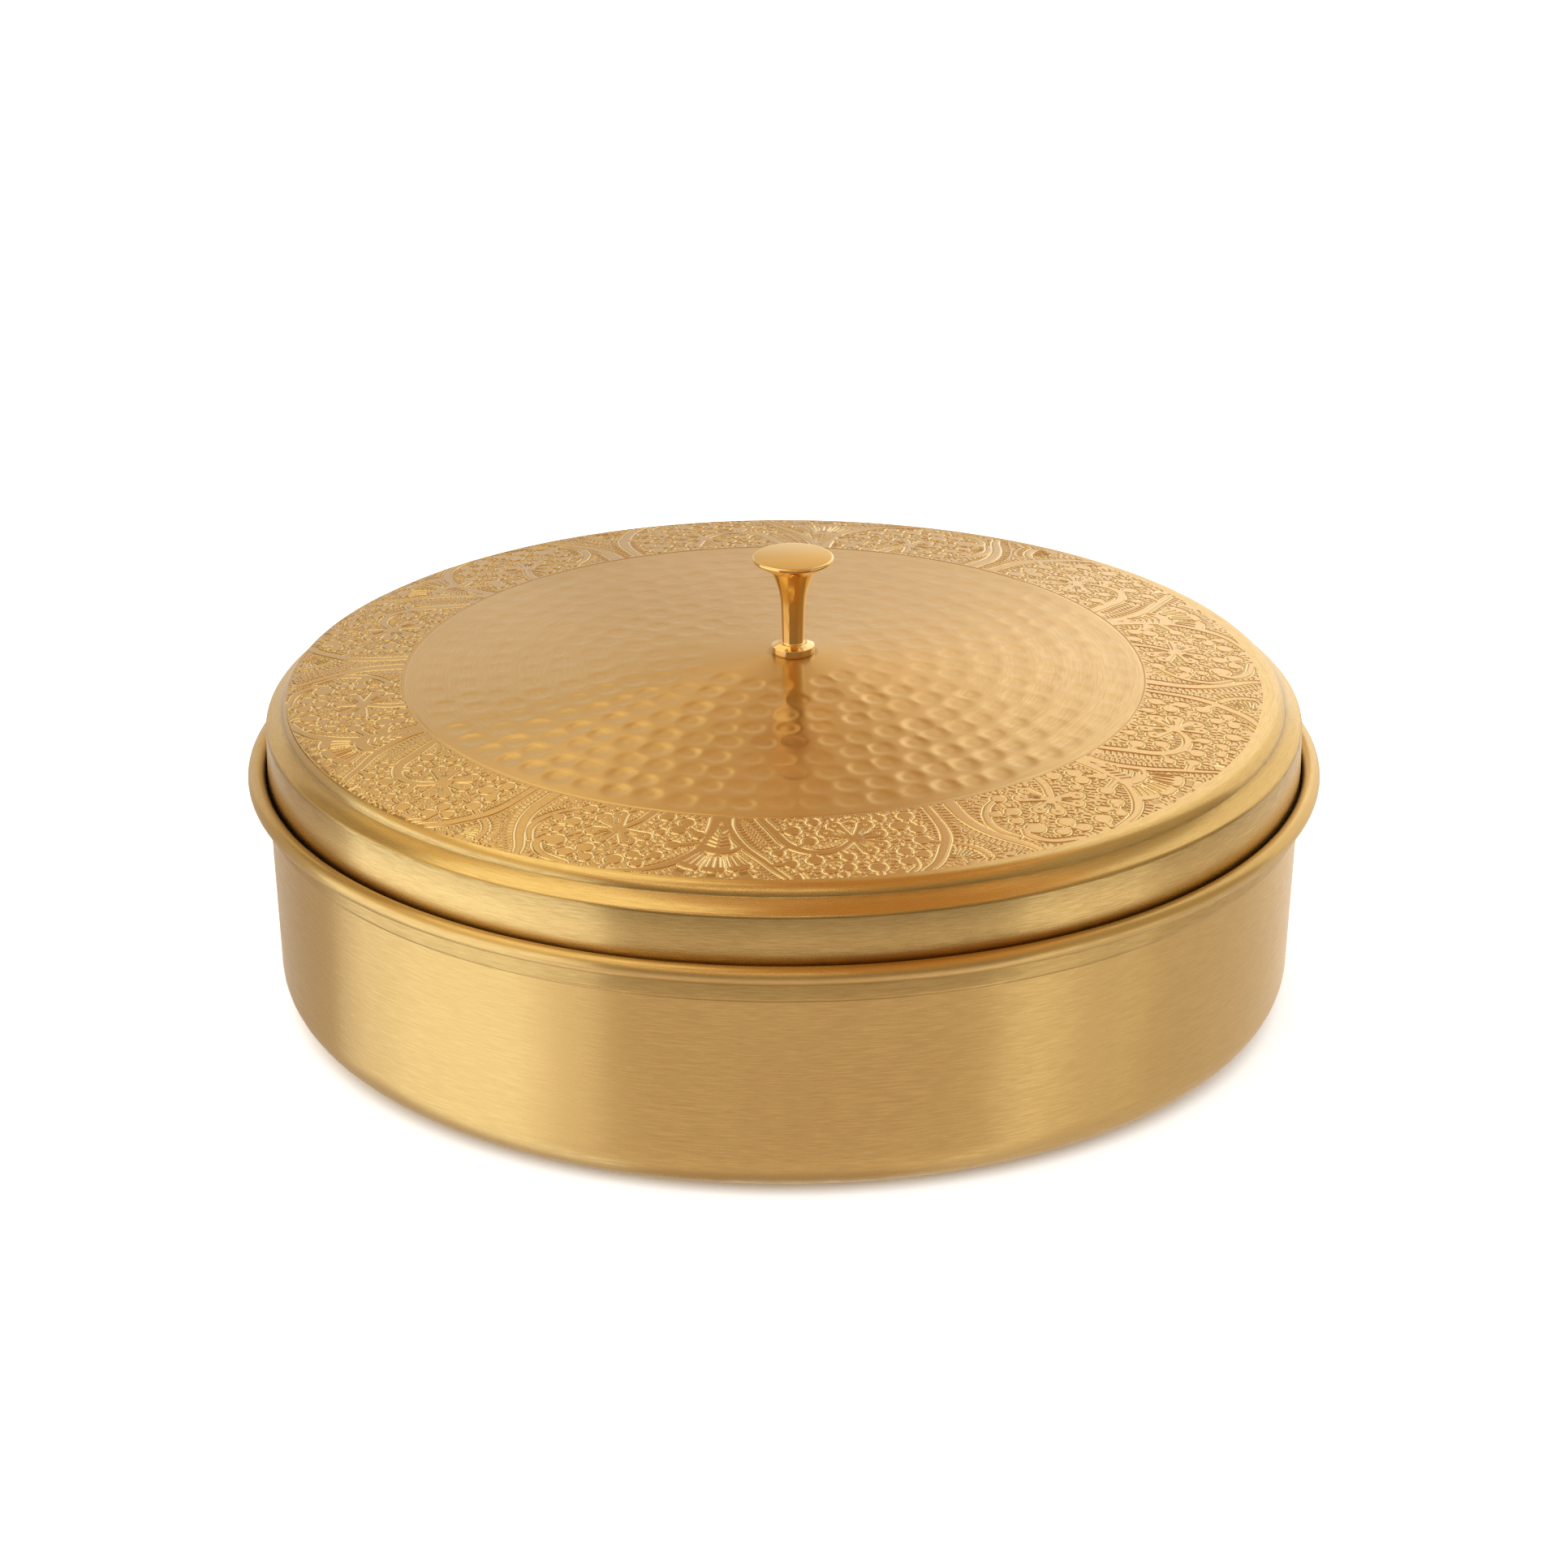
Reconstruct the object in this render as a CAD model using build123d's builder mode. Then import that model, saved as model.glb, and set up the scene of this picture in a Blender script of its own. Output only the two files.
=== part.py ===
from build123d import *
import os
from math import atan2, cos, radians, sin, tan

os.makedirs("parts", exist_ok=True)

# A round spice box of spun brass: box, lid with a turned knob, seven cups and a spoon.
# Millimetres. Z is up, the base stands on Z = 0 and the Z axis is the axis of the box.

# Box
rim_diameter = 240.0  # over the rolled rim
box_height = 55.2  # to the top of the rolled rim
box_sheet = 0.9
rim_bead = 4.08  # thickness of the rolled rim
rim_turn = 296.0  # degrees that the sheet is rolled through
wall_lean = 2.45  # degrees from upright
foot_bend = 9.5
neck_depth = 8.0  # from the top of the rim down to the step
step_width = 1.4
step_bend = 0.3
neck_bend = 1.15

# Lid
lid_sheet = 0.8
skirt_gap = 0.32  # all round, between the skirt and the neck
seat_gap = 0.05  # between the skirt's edge and the step
skirt_height = 18.15
shoulder_width = 3.77
shoulder_rise = 2.7
shoulder_bend = 1.1
shoulder_dip = 0.34  # of the hollow in the shoulder
shoulder_sweep = 8.0
crease_bend = 0.7
edge_lean = 0.62
edge_rise = 2.36
edge_bend = 3.0
band_width = 28.35
band_rise = 3.07
disc_rise = 5.27
knob_seat_margin = 0.7  # flat of the lid outside the knob's foot

# Knob and the screw that holds it
knob_offset = 2.0  # the knob stands a little off the middle, to +X
foot_radius = 4.8
foot_edge = 1.7
foot_height = 2.35
foot_top_radius = 3.2
stem_radius = 2.42
stem_top_radius = 2.7
stem_height = 11.0
flare_radius = 5.0
flare_height = 19.35
flare_step = 0.5
cap_radius = 9.02
cap_height = 22.92
cap_dome = 0.3
cap_edge = 1.0
cap_round = 0.32
screw_radius = 1.5
screw_length = 8.0  # in the knob
screw_clearance = 0.05
screw_head_radius = 2.8
screw_head_height = 1.6
screw_slot_width = 0.8
screw_slot_depth = 0.7
washer_radius = 4.0
washer_thickness = 0.6
washer_clearance = 0.15

# Cups
ring_cups = 6
cup_sheet = 0.7
cup_gap = 1.5  # between the lips of two cups
cup_wall_gap = 2.6  # between the ring's lips and the box wall
cup_below_step = 3.4  # how far the lips lie below the step
cup_lean = 4.0
cup_foot_bend = 7.0
cup_lip_radius = 1.15  # of the rolled lip's round section

# Spoon
spoon_angle = 30.0  # it points between two cups of the ring
spoon_lean = 36.0  # degrees up from level
spoon_sheet = 1.1
spoon_gap = 0.3
spoon_bowl_radius = 11.0
spoon_bowl_depth = 4.5
spoon_neck_width = 3.2
spoon_tip_width = 5.0
spoon_overhang = 16.5  # past the lip of the cup

# Heights and radii that follow
rim_radius = rim_diameter / 2
bead_radius = rim_bead / 2
bead_height = box_height - bead_radius
neck_inside = rim_radius - rim_bead
neck_outside = neck_inside + box_sheet
step_height = box_height - neck_depth
step_underside = step_height - box_sheet
wall_top_radius = neck_outside - step_width
wall_foot_radius = wall_top_radius - step_underside * tan(radians(wall_lean))
wall_inside = wall_top_radius - box_sheet

skirt_radius = neck_inside - skirt_gap
skirt_edge = step_height + seat_gap
shoulder_height = skirt_edge + skirt_height
crease_radius = skirt_radius - shoulder_width
crease_height = shoulder_height + shoulder_rise
edge_radius = crease_radius - edge_lean
edge_height = crease_height + edge_rise
dip_radius = skirt_radius - shoulder_width / 2 - shoulder_dip * cos(atan2(shoulder_width, shoulder_rise))
dip_height = shoulder_height + shoulder_rise / 2 - shoulder_dip * sin(atan2(shoulder_width, shoulder_rise))
disc_radius = edge_radius - band_width
disc_height = edge_height + band_rise
knob_seat_radius = knob_offset + foot_radius + knob_seat_margin
lid_top = disc_height + disc_rise

cup_radius = (wall_inside - cup_wall_gap - cup_gap) / 3
cup_ring_radius = 2 * cup_radius + cup_gap
cup_height = step_height - cup_below_step - box_sheet


def upright_plane(place):
    # X to the right and Z up, seen from the front.
    return Plane(origin=place, x_dir=(1, 0, 0), z_dir=(0, -1, 0))


def inner_corners(points, sheet):
    # The corners of the sheet's inner face, which lies to the left of the outer line.
    sides = [(Vector(*b) - Vector(*a)).normalized() for a, b in zip(points, points[1:])]
    normals = [Vector(-side.Y, side.X) for side in sides]
    pairs = zip(normals[:1] + normals, normals + normals[-1:])
    return [
        Vector(*point) + (one + other) * (sheet / (1 + one.dot(other)))
        for point, (one, other) in zip(points, pairs)
    ]


def inner_bends(points, bends, sheet):
    # A left turn is tighter on the inner face than on the outer one, a right turn is wider.
    sides = [Vector(*b) - Vector(*a) for a, b in zip(points, points[1:])]
    turns = [one.cross(other).Z for one, other in zip(sides, sides[1:])]
    return [max(bend - sheet, 0) if turn > 0 else bend + sheet for bend, turn in zip(bends, turns)]


def sheet_lines(points, bends, sheet):
    # Both faces of a bent sheet and its first end. The outer face has the corner points.
    outer = FilletPolyline(*points, radius=bends)
    inner = FilletPolyline(*inner_corners(points, sheet), radius=inner_bends(points, bends, sheet))
    Line(outer @ 0, inner @ 0)
    return outer, inner


# Box: a flat base, a leaning wall, the step for the lid, an upright neck and the rolled rim
box_points = [
    (0, 0),
    (wall_foot_radius, 0),
    (wall_top_radius, step_underside),
    (neck_outside, step_underside),
    (neck_outside, bead_height),
]
with BuildPart() as box_body:
    with BuildSketch(Plane.XZ):
        with BuildLine():
            sheet_lines(box_points, [foot_bend, step_bend, neck_bend], box_sheet)
            bead_centre = (rim_radius - bead_radius, bead_height)
            hollow = CenterArc(bead_centre, bead_radius - box_sheet, 180, -rim_turn)
            outside = CenterArc(bead_centre, bead_radius, 180, -rim_turn)
            Line(hollow @ 1, outside @ 1)
        make_face()
    revolve(axis=Axis.Z)
box_body.part.label = "box_body"
export_step(box_body.part, "parts/box_body.step")

# Lid: the knob's seat, the hammered disc, the etched band, the rounded edge, the hollow shoulder and
# the skirt, listed from the skirt's edge inward so that the inner face lies to the left
lid_points = [
    (skirt_radius, skirt_edge),
    (skirt_radius, shoulder_height),
    (dip_radius, dip_height),
    (crease_radius, crease_height),
    (edge_radius, edge_height),
    (disc_radius, disc_height),
    (knob_seat_radius, lid_top),
    (0, lid_top),
]
lid_bends = [shoulder_bend, shoulder_sweep, crease_bend, edge_bend, 0, 0]
with BuildPart() as lid:
    with BuildSketch(Plane.XZ):
        with BuildLine():
            lid_outer, lid_inner = sheet_lines(lid_points, lid_bends, lid_sheet)
            Line(lid_outer @ 1, lid_inner @ 1)
        make_face()
    revolve(axis=Axis.Z)
    with BuildSketch(Plane.XY.offset(lid_top)):
        with Locations((knob_offset, 0)):
            Circle(screw_radius + washer_clearance)
    extrude(amount=-2 * lid_sheet, mode=Mode.SUBTRACT)
lid.part.label = "lid"
export_step(lid.part, "parts/lid.step")

# Knob: turned from bar, with a blind hole for the screw in its foot
knob_place = (knob_offset, 0, lid_top)
rim_top = cap_height - cap_dome
with BuildPart() as knob:
    with BuildSketch(upright_plane(knob_place)):
        with BuildLine():
            foot = Polyline(
                (0, 0),
                (foot_radius, 0),
                (foot_radius, foot_edge),
                (foot_top_radius, foot_height),
                (stem_radius, foot_height),
                (stem_top_radius, stem_height),
            )
            flare = TangentArc(foot @ 1, (flare_radius, flare_height), tangent=foot % 1)
            Line((0, 0), (0, cap_height))
            cap = TangentArc((0, cap_height), (cap_radius - cap_round, rim_top), tangent=(1, 0))
            rim = TangentArc(cap @ 1, (cap_radius, rim_top - cap_round), tangent=cap % 1)
            side = Line(rim @ 1, (cap_radius, rim_top - cap_edge + cap_round))
            under = TangentArc(side @ 1, (cap_radius - cap_round, rim_top - cap_edge), tangent=side % 1)
            Polyline(under @ 1, (flare_radius + flare_step, flare_height + flare_step / 2), flare @ 1)
        make_face()
    revolve(axis=Axis(knob_place, (0, 0, 1)))
    with BuildSketch(Plane.XY.offset(lid_top)):
        with Locations((knob_offset, 0)):
            Circle(screw_radius + screw_clearance)
    extrude(amount=screw_length + screw_clearance, mode=Mode.SUBTRACT)
knob.part.label = "knob"
export_step(knob.part, "parts/knob.step")

# Washer against the lid's inner face
washer_top = lid_top - lid_sheet
washer_bottom = washer_top - washer_thickness
with BuildPart() as knob_washer:
    with BuildSketch(Plane.XY.offset(washer_bottom)):
        with Locations((knob_offset, 0)):
            Circle(washer_radius)
            Circle(screw_radius + washer_clearance, mode=Mode.SUBTRACT)
    extrude(amount=washer_thickness)
knob_washer.part.label = "knob_washer"
export_step(knob_washer.part, "parts/knob_washer.step")

# Screw: a round slotted head below the washer and a shank that ends in the knob
with BuildPart() as knob_screw:
    with BuildSketch(Plane.XY.offset(washer_bottom)):
        with Locations((knob_offset, 0)):
            Circle(screw_head_radius)
    extrude(amount=-screw_head_height)
    fillet(knob_screw.edges().sort_by(Axis.Z)[0], screw_head_height / 2)
    with BuildSketch(Plane.XY.offset(washer_bottom - screw_head_height)):
        with Locations((knob_offset, 0)):
            Rectangle(3 * screw_head_radius, screw_slot_width)
    extrude(amount=screw_slot_depth, mode=Mode.SUBTRACT)
    with BuildSketch(Plane.XY.offset(washer_bottom)):
        with Locations((knob_offset, 0)):
            Circle(screw_radius)
    extrude(amount=lid_top - washer_bottom + screw_length)
knob_screw.part.label = "knob_screw"
export_step(knob_screw.part, "parts/knob_screw.step")


# Cups: flat base, rounded foot, leaning wall and a lip rolled tight against the wall
def make_cup(name, place):
    lean = radians(cup_lean)
    lip_centre = Vector(cup_radius - cup_lip_radius, cup_height - cup_lip_radius)
    wall_top = lip_centre + Vector(-cos(lean), sin(lean)) * (cup_lip_radius - cup_sheet)
    cup_foot_radius = wall_top.X - wall_top.Y * tan(lean)
    with BuildPart() as cup:
        with BuildSketch(upright_plane(place)):
            with BuildLine():
                points = [(0, 0), (cup_foot_radius, 0), (wall_top.X, wall_top.Y)]
                outer, inner = sheet_lines(points, [cup_foot_bend], cup_sheet)
                Line(outer @ 1, inner @ 1)
            make_face()
            with Locations(lip_centre):
                Circle(cup_lip_radius)
        revolve(axis=Axis(place, (0, 0, 1)))
    cup.part.label = name
    export_step(cup.part, f"parts/{name}.step")


make_cup("cup_centre", (0, 0, box_sheet))
for number in range(ring_cups):
    angle = radians(360 / ring_cups * number)
    centre = (cup_ring_radius * cos(angle), cup_ring_radius * sin(angle), box_sheet)
    make_cup(f"cup_{number + 1}", centre)


# Spoon: it leans in the middle cup, the handle on the lip and the bowl on the floor. Its own
# plane has X up the handle, and its origin where the handle's underside lies over the lip.
lean = radians(spoon_lean)
lip_reach = cup_lip_radius + spoon_gap
rest_radius = cup_radius - cup_lip_radius - lip_reach * sin(lean)
rest_height = box_sheet + cup_height - cup_lip_radius + lip_reach * cos(lean)
bowl_sphere = (spoon_bowl_radius**2 + spoon_bowl_depth**2) / (2 * spoon_bowl_depth)
sphere_rise = bowl_sphere - spoon_bowl_depth
bowl_floor = box_sheet + cup_sheet + spoon_gap
bowl_reach = (rest_height + sphere_rise * cos(lean) - bowl_floor - bowl_sphere) / sin(lean)
across = radians(spoon_angle)
spoon_plane = Plane(
    origin=(rest_radius * cos(across), rest_radius * sin(across), rest_height),
    x_dir=(cos(lean) * cos(across), cos(lean) * sin(across), sin(lean)),
    z_dir=(-sin(lean) * cos(across), -sin(lean) * sin(across), cos(lean)),
)
bowl_centre = spoon_plane.from_local_coords((-bowl_reach, 0, 0))
bowl_section = Plane(origin=bowl_centre, x_dir=spoon_plane.x_dir, z_dir=-spoon_plane.y_dir)
with BuildPart() as spoon:
    with BuildSketch(bowl_section):
        with BuildLine():
            bowl_line = RadiusArc((0, -spoon_bowl_depth), (spoon_bowl_radius, 0), -bowl_sphere)
            offset(bowl_line, amount=spoon_sheet, side=Side.LEFT)
        make_face()
    revolve(axis=Axis(bowl_centre, spoon_plane.z_dir))
    with BuildSketch(spoon_plane):
        with BuildLine():
            near = -bowl_reach + spoon_bowl_radius - spoon_sheet
            far = spoon_overhang - spoon_tip_width / 2
            side = Line((near, spoon_neck_width / 2), (far, spoon_tip_width / 2))
            tip = TangentArc(side @ 1, (far, -spoon_tip_width / 2), tangent=side % 1)
            Polyline(tip @ 1, (near, -spoon_neck_width / 2), side @ 0)
        make_face()
    extrude(amount=spoon_sheet)
spoon.part.label = "spoon"
export_step(spoon.part, "parts/spoon.step")
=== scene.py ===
from math import atan2, cos, degrees, hypot, pi, radians, sin, tan

import bpy
import numpy as np
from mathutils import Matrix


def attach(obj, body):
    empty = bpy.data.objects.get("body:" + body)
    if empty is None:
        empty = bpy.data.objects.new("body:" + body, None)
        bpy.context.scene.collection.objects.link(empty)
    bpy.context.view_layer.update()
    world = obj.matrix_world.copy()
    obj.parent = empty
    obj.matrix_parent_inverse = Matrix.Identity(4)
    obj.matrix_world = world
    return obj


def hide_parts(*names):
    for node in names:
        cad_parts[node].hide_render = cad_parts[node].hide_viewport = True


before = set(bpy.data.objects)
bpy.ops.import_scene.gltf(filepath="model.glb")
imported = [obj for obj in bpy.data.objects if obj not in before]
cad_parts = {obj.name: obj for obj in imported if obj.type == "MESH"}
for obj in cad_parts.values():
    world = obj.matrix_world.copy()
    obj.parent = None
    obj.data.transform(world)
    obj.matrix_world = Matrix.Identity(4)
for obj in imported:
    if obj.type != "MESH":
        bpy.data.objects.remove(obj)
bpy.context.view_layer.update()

mm = 0.001
print("frame loaded:", len(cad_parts), "nodes")


# Studio: the camera stands where the photograph was taken from. Azimuths start at the camera and
# rise to +X.
camera = {"distance": 1.2186, "elevation": 22.54, "aimHeight": 0.04683, "lens": 124.23,
          "sensor": 36.0, "clip": (0.05, 100)}
floor = {"size": 30.0, "colour": "#EDECEA"}
lamp = {"azimuth": -60, "elevation": 60, "distance": 2.2, "size": 2.6, "power": 9}
worldLevel = 2.2
# Curved panels that only the metal sees: azimuths, elevations, distance, brightness (one value, or
# one for each end) and tint (one, or one each for foot and top)
panels = {
    "floorLeft": ((-106, -62), (-72, -33), 2.0, 1.52, "#FFFFFF"),
    "floorLeftTop": ((-121, -53), (-33, -27), 2.0, 1.54, "#FFFFFF"),
    "roomLeftLow": ((-107, -39), (-27, 20), 2.0, 1.56, "#FFFFFF"),
    "floorFront": ((-64, 52), (-72, -27), 2.1, 0.94, "#FFEBDE"),
    "roomFrontLow": ((-38, 50), (-27, -18), 2.1, 0.84, "#FFECDA"),
    "floorRight": ((49, 66), (-72, -33), 2.0, 1.3, "#FFF7EE"),
    "floorRightTop": ((47, 69), (-33, -27), 2.0, 1.3, "#FFF7EE"),
    "roomRightLow": ((50, 84), (-27, -8), 2.0, 1.28, "#FFF7EE"),
    "floorFarRight": ((52, 114), (-72, -8), 2.1, 0.84, "#FFF0E2"),
    "floorFarLeft": ((-173, -64), (-72, -27), 2.1, 0.64, "#FFEBD8"),
    "roomFarLeftLow": ((-140, -104), (-27, 26), 2.0, 0.64, "#FFEBD8"),
    "roomBackLeft": ((-173, -140), (0, 26), 2.0, (0.84, 0.88), "#FFF3E4"),
    "roomBackLow": ((-173, -140), (-27, 0), 2.0, (0.86, 0.66), "#FFF1E2"),
    "floorWindow": ((114, 171), (-72, -27), 1.4, (0.84, 0.86), "#FFEEDC"),
    "windowFoot": ((114, 171), (-27, -4), 1.4, (0.88, 1.16), "#FFF2E4"),
    "roomLeft": ((-119, -50), (20, 56), 2.2, 0.96, "#FFE0A6"),
    "roomFarLeft": ((-173, -119), (26, 50), 1.9, (0.62, 0.27), "#FFE0AA"),
    "roomFront": ((-38, 50), (-18, 14), 2.2, 0.33, "#FFF3DE"),
    "roomFrontHigh": ((-50, 60), (14, 26), 2.2, 0.5, "#FFDCA6"),
    "roomFrontTop": ((-50, 60), (26, 62), 2.2, 0.66, "#FFC884"),
    "floorUnder": ((-180, 180), (-89.9, -72), 2.0, 0.52, "#FFE2C4"),
    "roomRight": ((50, 114), (-8, 54), 2.3, 0.55, "#FFE6BC"),
    "lampFront": ((-44, 14), (41, 48), 2.0, 2.2, "#FFF6E4"),
    "softboxLeft": ((-150, -50), (49, 86), 1.8, 1.56, "#FFF3D2"),
    "softboxBack": ((-173, -146), (30, 66), 1.5, (1.34, 1.16), "#FFEBB8"),
    "ceiling": ((-180, 180), (62, 89.9), 1.9, 0.62, "#FFBE74"),
    "ceilingRight": ((60, 187), (54, 62), 1.9, (1.1, 0.66), "#FFCC8C"),
    "windowSide": ((114, 150), (-4, 57), 1.5, (1.1, 1.24), "#FFF2DC"),
    "windowRight": ((150, 172), (-4, 44), 1.4, (1.34, 1.6), "#FFF8EC"),
    "behind": ((172, 187), (6, 24), 1.4, (1.22, 0.84), ("#FFFFFF", "#E8CCA0")),
    "behindTop": ((172, 187), (24, 42), 1.4, (1.16, 0.96), ("#E8CCA0", "#BC8E56")),
    "behindLow": ((170, 187), (-20, 6), 1.4, (0.8, 0.64), "#FFDFAE"),
    "wallBehindTop": ((170, 187), (42, 62), 1.6, 0.76, "#FFCE92"),
}
panelGrid = {"x_subdivisions": 16, "y_subdivisions": 12}
panelCentre = 0.06


def linear(hexText):
    parts = [int(hexText[k:k + 2], 16) / 255 for k in (1, 3, 5)]
    return [p / 12.92 if p <= 0.04045 else ((p + 0.055) / 1.055) ** 2.4 for p in parts] + [1.0]


def addNode(tree, kind, settings=None, links=None):
    # a link given as a node stands for that node's first output
    made = tree.nodes.new("ShaderNode" + kind)
    for key, value in (settings or {}).items():
        if isinstance(key, str) and hasattr(made, key):
            setattr(made, key, value)
        else:
            made.inputs[key].default_value = value
    for key, source in (links or {}).items():
        if isinstance(source, bpy.types.Node):
            source = source.outputs[0]
        tree.links.new(source, made.inputs[key])
    return made


def emptyMaterial(name):
    material = bpy.data.materials.new(name)
    material.use_nodes = True
    material.node_tree.nodes.clear()
    return material, material.node_tree


def direction(azimuth, elevation):
    a, e = radians(azimuth), radians(elevation)
    return np.array([sin(a) * cos(e), -cos(a) * cos(e), sin(e)])


def deselectAll():
    if bpy.context.object and bpy.context.object.mode != "OBJECT":
        bpy.ops.object.mode_set(mode="OBJECT")
    bpy.ops.object.select_all(action="DESELECT")


def makeCamera():
    data = bpy.data.cameras.new("camera")
    data.lens, data.sensor_width = camera["lens"], camera["sensor"]
    data.clip_start, data.clip_end = camera["clip"]
    made = bpy.data.objects.new("camera", data)
    bpy.context.scene.collection.objects.link(made)
    e, distance = radians(camera["elevation"]), camera["distance"]
    made.location = (0, -distance * cos(e), camera["aimHeight"] + distance * sin(e))
    made.rotation_euler = (pi / 2 - e, 0, 0)
    bpy.context.scene.camera = made


def glowMaterial():
    # lit paper: evenly bright, or fading from one edge to the other
    material, tree = emptyMaterial("Studio paper, lit")
    glow = addNode(tree, "Attribute", {"attribute_name": "glow"})
    shader = addNode(tree, "Emission", {"Strength": 1.0}, {"Color": glow.outputs["Color"]})
    addNode(tree, "OutputMaterial", links={"Surface": shader})
    return material


def bentPanel(name, panel, paper):
    # a piece of a sphere round the box, facing inward
    deselectAll()
    bpy.ops.mesh.primitive_grid_add(size=2, **panelGrid)
    card = bpy.context.object
    card.name = name
    (a0, a1), (e0, e1), distance, level, tint = panel
    l0, l1 = np.broadcast_to(level, 2)
    foot, top = [np.array(linear(hexText)) for hexText in np.broadcast_to(tint, 2)]
    glow = card.data.attributes.new("glow", "FLOAT_COLOR", "POINT")
    for vertex, lit in zip(card.data.vertices, glow.data):
        across, up = (vertex.co.x + 1) / 2, (vertex.co.y + 1) / 2
        lit.color = (l0 + (l1 - l0) * across) * (foot + (top - foot) * up)
        place = direction(a0 + (a1 - a0) * across, e0 + (e1 - e0) * up)
        vertex.co = place * distance + np.array([0, 0, panelCentre])
    card.data.materials.append(paper)
    card.visible_camera = card.visible_shadow = card.visible_diffuse = False


def makeFloor():
    deselectAll()
    bpy.ops.mesh.primitive_plane_add(size=floor["size"])
    ground = bpy.context.object
    ground.name = "floor"
    material, tree = emptyMaterial("Painted white floor, matt")
    paint = addNode(tree, "BsdfDiffuse", {"Color": linear(floor["colour"])})
    addNode(tree, "OutputMaterial", links={"Surface": paint})
    ground.data.materials.append(material)
    ground.visible_glossy = False  # the metal sees the panels below the floor's level instead


def makeLamp():
    data = bpy.data.lights.new("key", "AREA")
    data.size, data.energy = lamp["size"], lamp["power"]
    key = bpy.data.objects.new("key", data)
    bpy.context.scene.collection.objects.link(key)
    key.location = direction(lamp["azimuth"], lamp["elevation"]) * lamp["distance"]
    key.rotation_euler = (pi / 2 - radians(lamp["elevation"]), 0, radians(lamp["azimuth"]))
    key.visible_glossy = False


def makeWorld():
    # plain white to the camera and the metal, brighter as the light on the floor
    world = bpy.data.worlds.new("studio")
    bpy.context.scene.world = world
    world.use_nodes = True
    tree = world.node_tree
    tree.nodes.clear()
    path = addNode(tree, "LightPath")
    seen = addNode(tree, "Math", {"operation": "MAXIMUM"},
                   {0: path.outputs["Is Camera Ray"], 1: path.outputs["Is Glossy Ray"]})
    seen = addNode(tree, "Math", {"operation": "MAXIMUM"},
                   {0: seen, 1: path.outputs["Is Transmission Ray"]})
    level = addNode(tree, "MapRange", {"To Min": worldLevel, "To Max": 1.0}, {"Value": seen})
    sky = addNode(tree, "Background", {"Color": (1, 1, 1, 1)}, {"Strength": level})
    addNode(tree, "OutputWorld", links={"Surface": sky})


bpy.context.scene.view_settings.view_transform = "Standard"
makeCamera()
makeFloor()
paper = glowMaterial()
for name, panel in panels.items():
    bentPanel(name, panel, paper)
makeLamp()
makeWorld()
print("studio and camera made")


# Lid, in mm: the same sheet as the frame's, from the skirt's edge over the shoulder, the crease and
# the rounded edge to the disc and the knob's seat. The line is the band's above "bandHeight" and
# the rounded edge's outside "edgeReach" and below "edgeHeight".
lidSheet = {
    "corners": [(115.6, 47.25), (115.6, 65.4), (113.517, 66.474), (111.83, 68.1), (111.21, 70.46),
                (82.86, 73.53), (7.5, 78.8), (1.65, 78.8)],
    "bends": [1.1, 8, 0.7, 3, 0, 0],
    "thickness": 0.8,
    "bendSteps": 7,
    "columns": 480,
    "edgeRows": 12,
    "edgeReach": 111,
    "edgeHeight": 70.4,
    "bandHeight": 70,
    "skirtRows": (60, 57.6, 56.6, 56.1, 55.4, 54.7, 53.3, 50.5),
    # painted shade on the skirt level with the rim, in the shoulder's corner and in the crease:
    # middle height, reach and amount
    "skirtShade": (54.7, 1.4, 0.5),
    "cornerShade": (65.0, 0.6, 0.4),
    "cornerOutside": 114.9,
    "creaseShade": (68.3, 0.8, 0.32),
}
# The etched band and the disc inside it stand a little to the left of the lid's own axis.
band = {"centre": -2.2, "inner": 82.86, "outer": 108.84, "repeats": 6, "columns": 610, "rows": 158,
        "firstAngle": -8.0, "depth": 0.22, "probe": 0.05, "slack": 0.01}
mergeReach = 0.0005
sharpAngle = 40


def roundedLine(corners, bends, steps):
    line = [corners[0]]
    for k, bend in enumerate(bends):
        p0, p1, p2 = (np.array(corners[k + j], float) for j in range(3))
        if bend <= 0:
            line.append(tuple(p1))
            continue
        before = (p0 - p1) / np.linalg.norm(p0 - p1)
        after = (p2 - p1) / np.linalg.norm(p2 - p1)
        half = np.arccos(np.clip(before @ after, -1, 1)) / 2
        middle = p1 + (before + after) / np.linalg.norm(before + after) * bend / sin(half)
        start, end = p1 + before * bend / tan(half), p1 + after * bend / tan(half)
        a0 = atan2(*(start - middle)[::-1])
        turn = (atan2(*(end - middle)[::-1]) - a0 + pi) % (2 * pi) - pi
        line += [tuple(middle + bend * np.array([cos(a0 + turn * t), sin(a0 + turn * t)]))
                 for t in np.linspace(0, 1, steps + 1)]
    return np.array(line + [corners[-1]])


def innerCorners(corners, thickness):
    p = np.array(corners, float)
    d = np.diff(p, axis=0)
    n = np.stack([-d[:, 1], d[:, 0]], 1) / np.linalg.norm(d, axis=1)[:, None]
    first, second = np.vstack([n[:1], n]), np.vstack([n, n[-1:]])
    return p + (first + second) * (thickness / (1 + (first * second).sum(1)))[:, None]


def innerBends(corners, bends, thickness):
    d = np.diff(np.array(corners, float), axis=0)
    turns = d[:-1, 0] * d[1:, 1] - d[:-1, 1] * d[1:, 0]
    return [0 if bend <= 0 else (max(bend - thickness, 0) if turn > 0 else bend + thickness)
            for bend, turn in zip(bends, turns)]


def sheetLines(sheet):
    corners, bends, thickness = sheet["corners"], sheet["bends"], sheet["thickness"]
    outer = roundedLine(corners, bends, sheet["bendSteps"])
    inner = roundedLine(innerCorners(corners, thickness), innerBends(corners, bends, thickness),
                        sheet["bendSteps"])
    return outer, inner


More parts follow.
